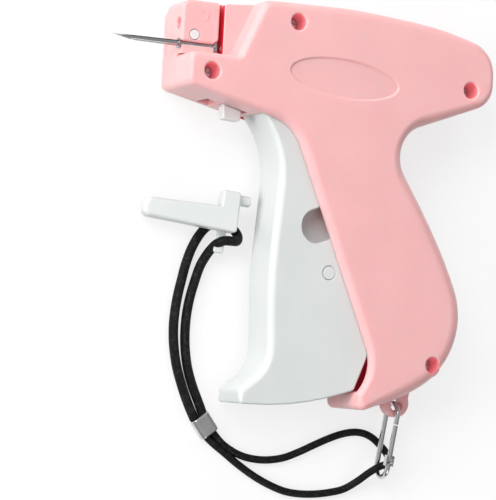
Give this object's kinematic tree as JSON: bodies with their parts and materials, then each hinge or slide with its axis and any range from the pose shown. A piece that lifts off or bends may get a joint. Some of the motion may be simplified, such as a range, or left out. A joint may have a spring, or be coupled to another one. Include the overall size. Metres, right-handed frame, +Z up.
{
  "type": "fabric tagging tool",
  "caption": "Pistol-grip fabric tagging tool with a pink two-part case, pale trigger, slotted steel needle, and a clip lanyard that carries the needle's cap.",
  "frame": {"origin": "centre of the tool's footprint, without its lanyard, on the table that its right side lies on", "axes": "+X towards the tool's rear, away from the needle's point; +Y towards the top of its barrel; +Z up from the table, out of its left side"},
  "size_m": [0.1398, 0.1669, 0.025],
  "materials": {
    "case_pink": "smooth moulded plastic with a soft gloss",
    "pale_plastic": "smooth moulded plastic",
    "white_plastic": "smooth moulded plastic",
    "cream_plastic": "smooth moulded plastic",
    "dark_plastic": "smooth moulded plastic",
    "needle_steel": "drawn steel",
    "screw_steel": "plated steel",
    "bright_wire": "polished plating",
    "guide_brass": "machined brass",
    "black_cord": "braided cord with pale flecks"
  },
  "bodies": {
    "frame": {"right_case": "case_pink", "left_case": "case_pink", "case_screws": "screw_steel", "nose_block": "case_pink", "nose_pin": "white_plastic", "needle": "needle_steel", "needle_hub": "cream_plastic", "cutter_blade": "needle_steel", "trigger_pivot_pins": "screw_steel", "fulcrum_pin": "screw_steel", "rod_guide": "guide_brass", "return_spring": "screw_steel", "feed_axle": "screw_steel", "check_spring": "needle_steel", "button_spring": "screw_steel"},
    "trigger": {"trigger": "pale_plastic", "link_pin": "pale_plastic", "pawl_pin": "screw_steel"},
    "lever": {"drive_lever": "white_plastic"},
    "carriage": {"slide_carriage": "dark_plastic", "drive_pin": "screw_steel", "ejector_rod": "needle_steel"},
    "wheel": {"feed_wheel": "white_plastic"},
    "pawl": {"feed_pawl": "white_plastic"},
    "button": {"release_button": "white_plastic"},
    "lanyard": {"carabiner": "bright_wire", "gate_pin": "bright_wire", "ferrule": "bright_wire", "clip_loop_cord": "black_cord", "cap_loop_cord": "black_cord", "needle_cap": "pale_plastic"},
    "gate": {"carabiner_gate": "bright_wire"}
  },
  "joints": [
    {"name": "trigger_pull", "type": "hinge", "parent": "frame", "child": "trigger", "pos_m": [-0.0119, 0.0376, 0.0125], "axis": [0, 0, 1], "range_deg": [0, 14], "stiffness_Nm_per_rad": 0.5},
    {"name": "lever_rock", "type": "hinge", "parent": "trigger", "child": "lever", "pos_m": [0.0101, -0.0211, 0.01], "axis": [0, 0, 1], "range_deg": [0, 28.7]},
    {"name": "carriage_slide", "type": "slide", "parent": "frame", "child": "carriage", "axis": [-1, 0, 0], "range_m": [0, 0.036], "deforming": ["return_spring"]},
    {"name": "wheel_turn", "type": "hinge", "parent": "frame", "child": "wheel", "pos_m": [-0.0245, 0.0583, 0.0081], "axis": [0, 0, -1], "continuous": true},
    {"name": "pawl_swing", "type": "hinge", "parent": "trigger", "child": "pawl", "pos_m": [-0.0187, 0.0421, 0.0087], "axis": [0, 0, 1], "range_deg": [-17.2, 0]},
    {"name": "release_slide", "type": "slide", "parent": "frame", "child": "button", "axis": [0.9716, -0.2368, 0], "range_m": [0, 0.0024], "stiffness_N_per_m": 300, "deforming": ["button_spring"]},
    {"name": "lanyard_swing", "type": "hinge", "parent": "frame", "child": "lanyard", "pos_m": [0.0435, -0.0646, 0.0105], "axis": [0, 0, 1], "range_deg": [0, 15]},
    {"name": "gate_open", "type": "hinge", "parent": "lanyard", "child": "gate", "pos_m": [0.04218, -0.08345, 0.01156], "axis": [-0.9976, 0.0698, 0], "range_deg": [0, 20], "stiffness_Nm_per_rad": 0.02}
  ],
  "couplings": [
    {"joint": "lever_rock", "follows": "trigger_pull", "ratio": 2.036},
    {"joint": "carriage_slide", "follows": "trigger_pull", "m_per_rad": 0.1465},
    {"joint": "pawl_swing", "follows": "trigger_pull", "ratio": -1.22}
  ]
}
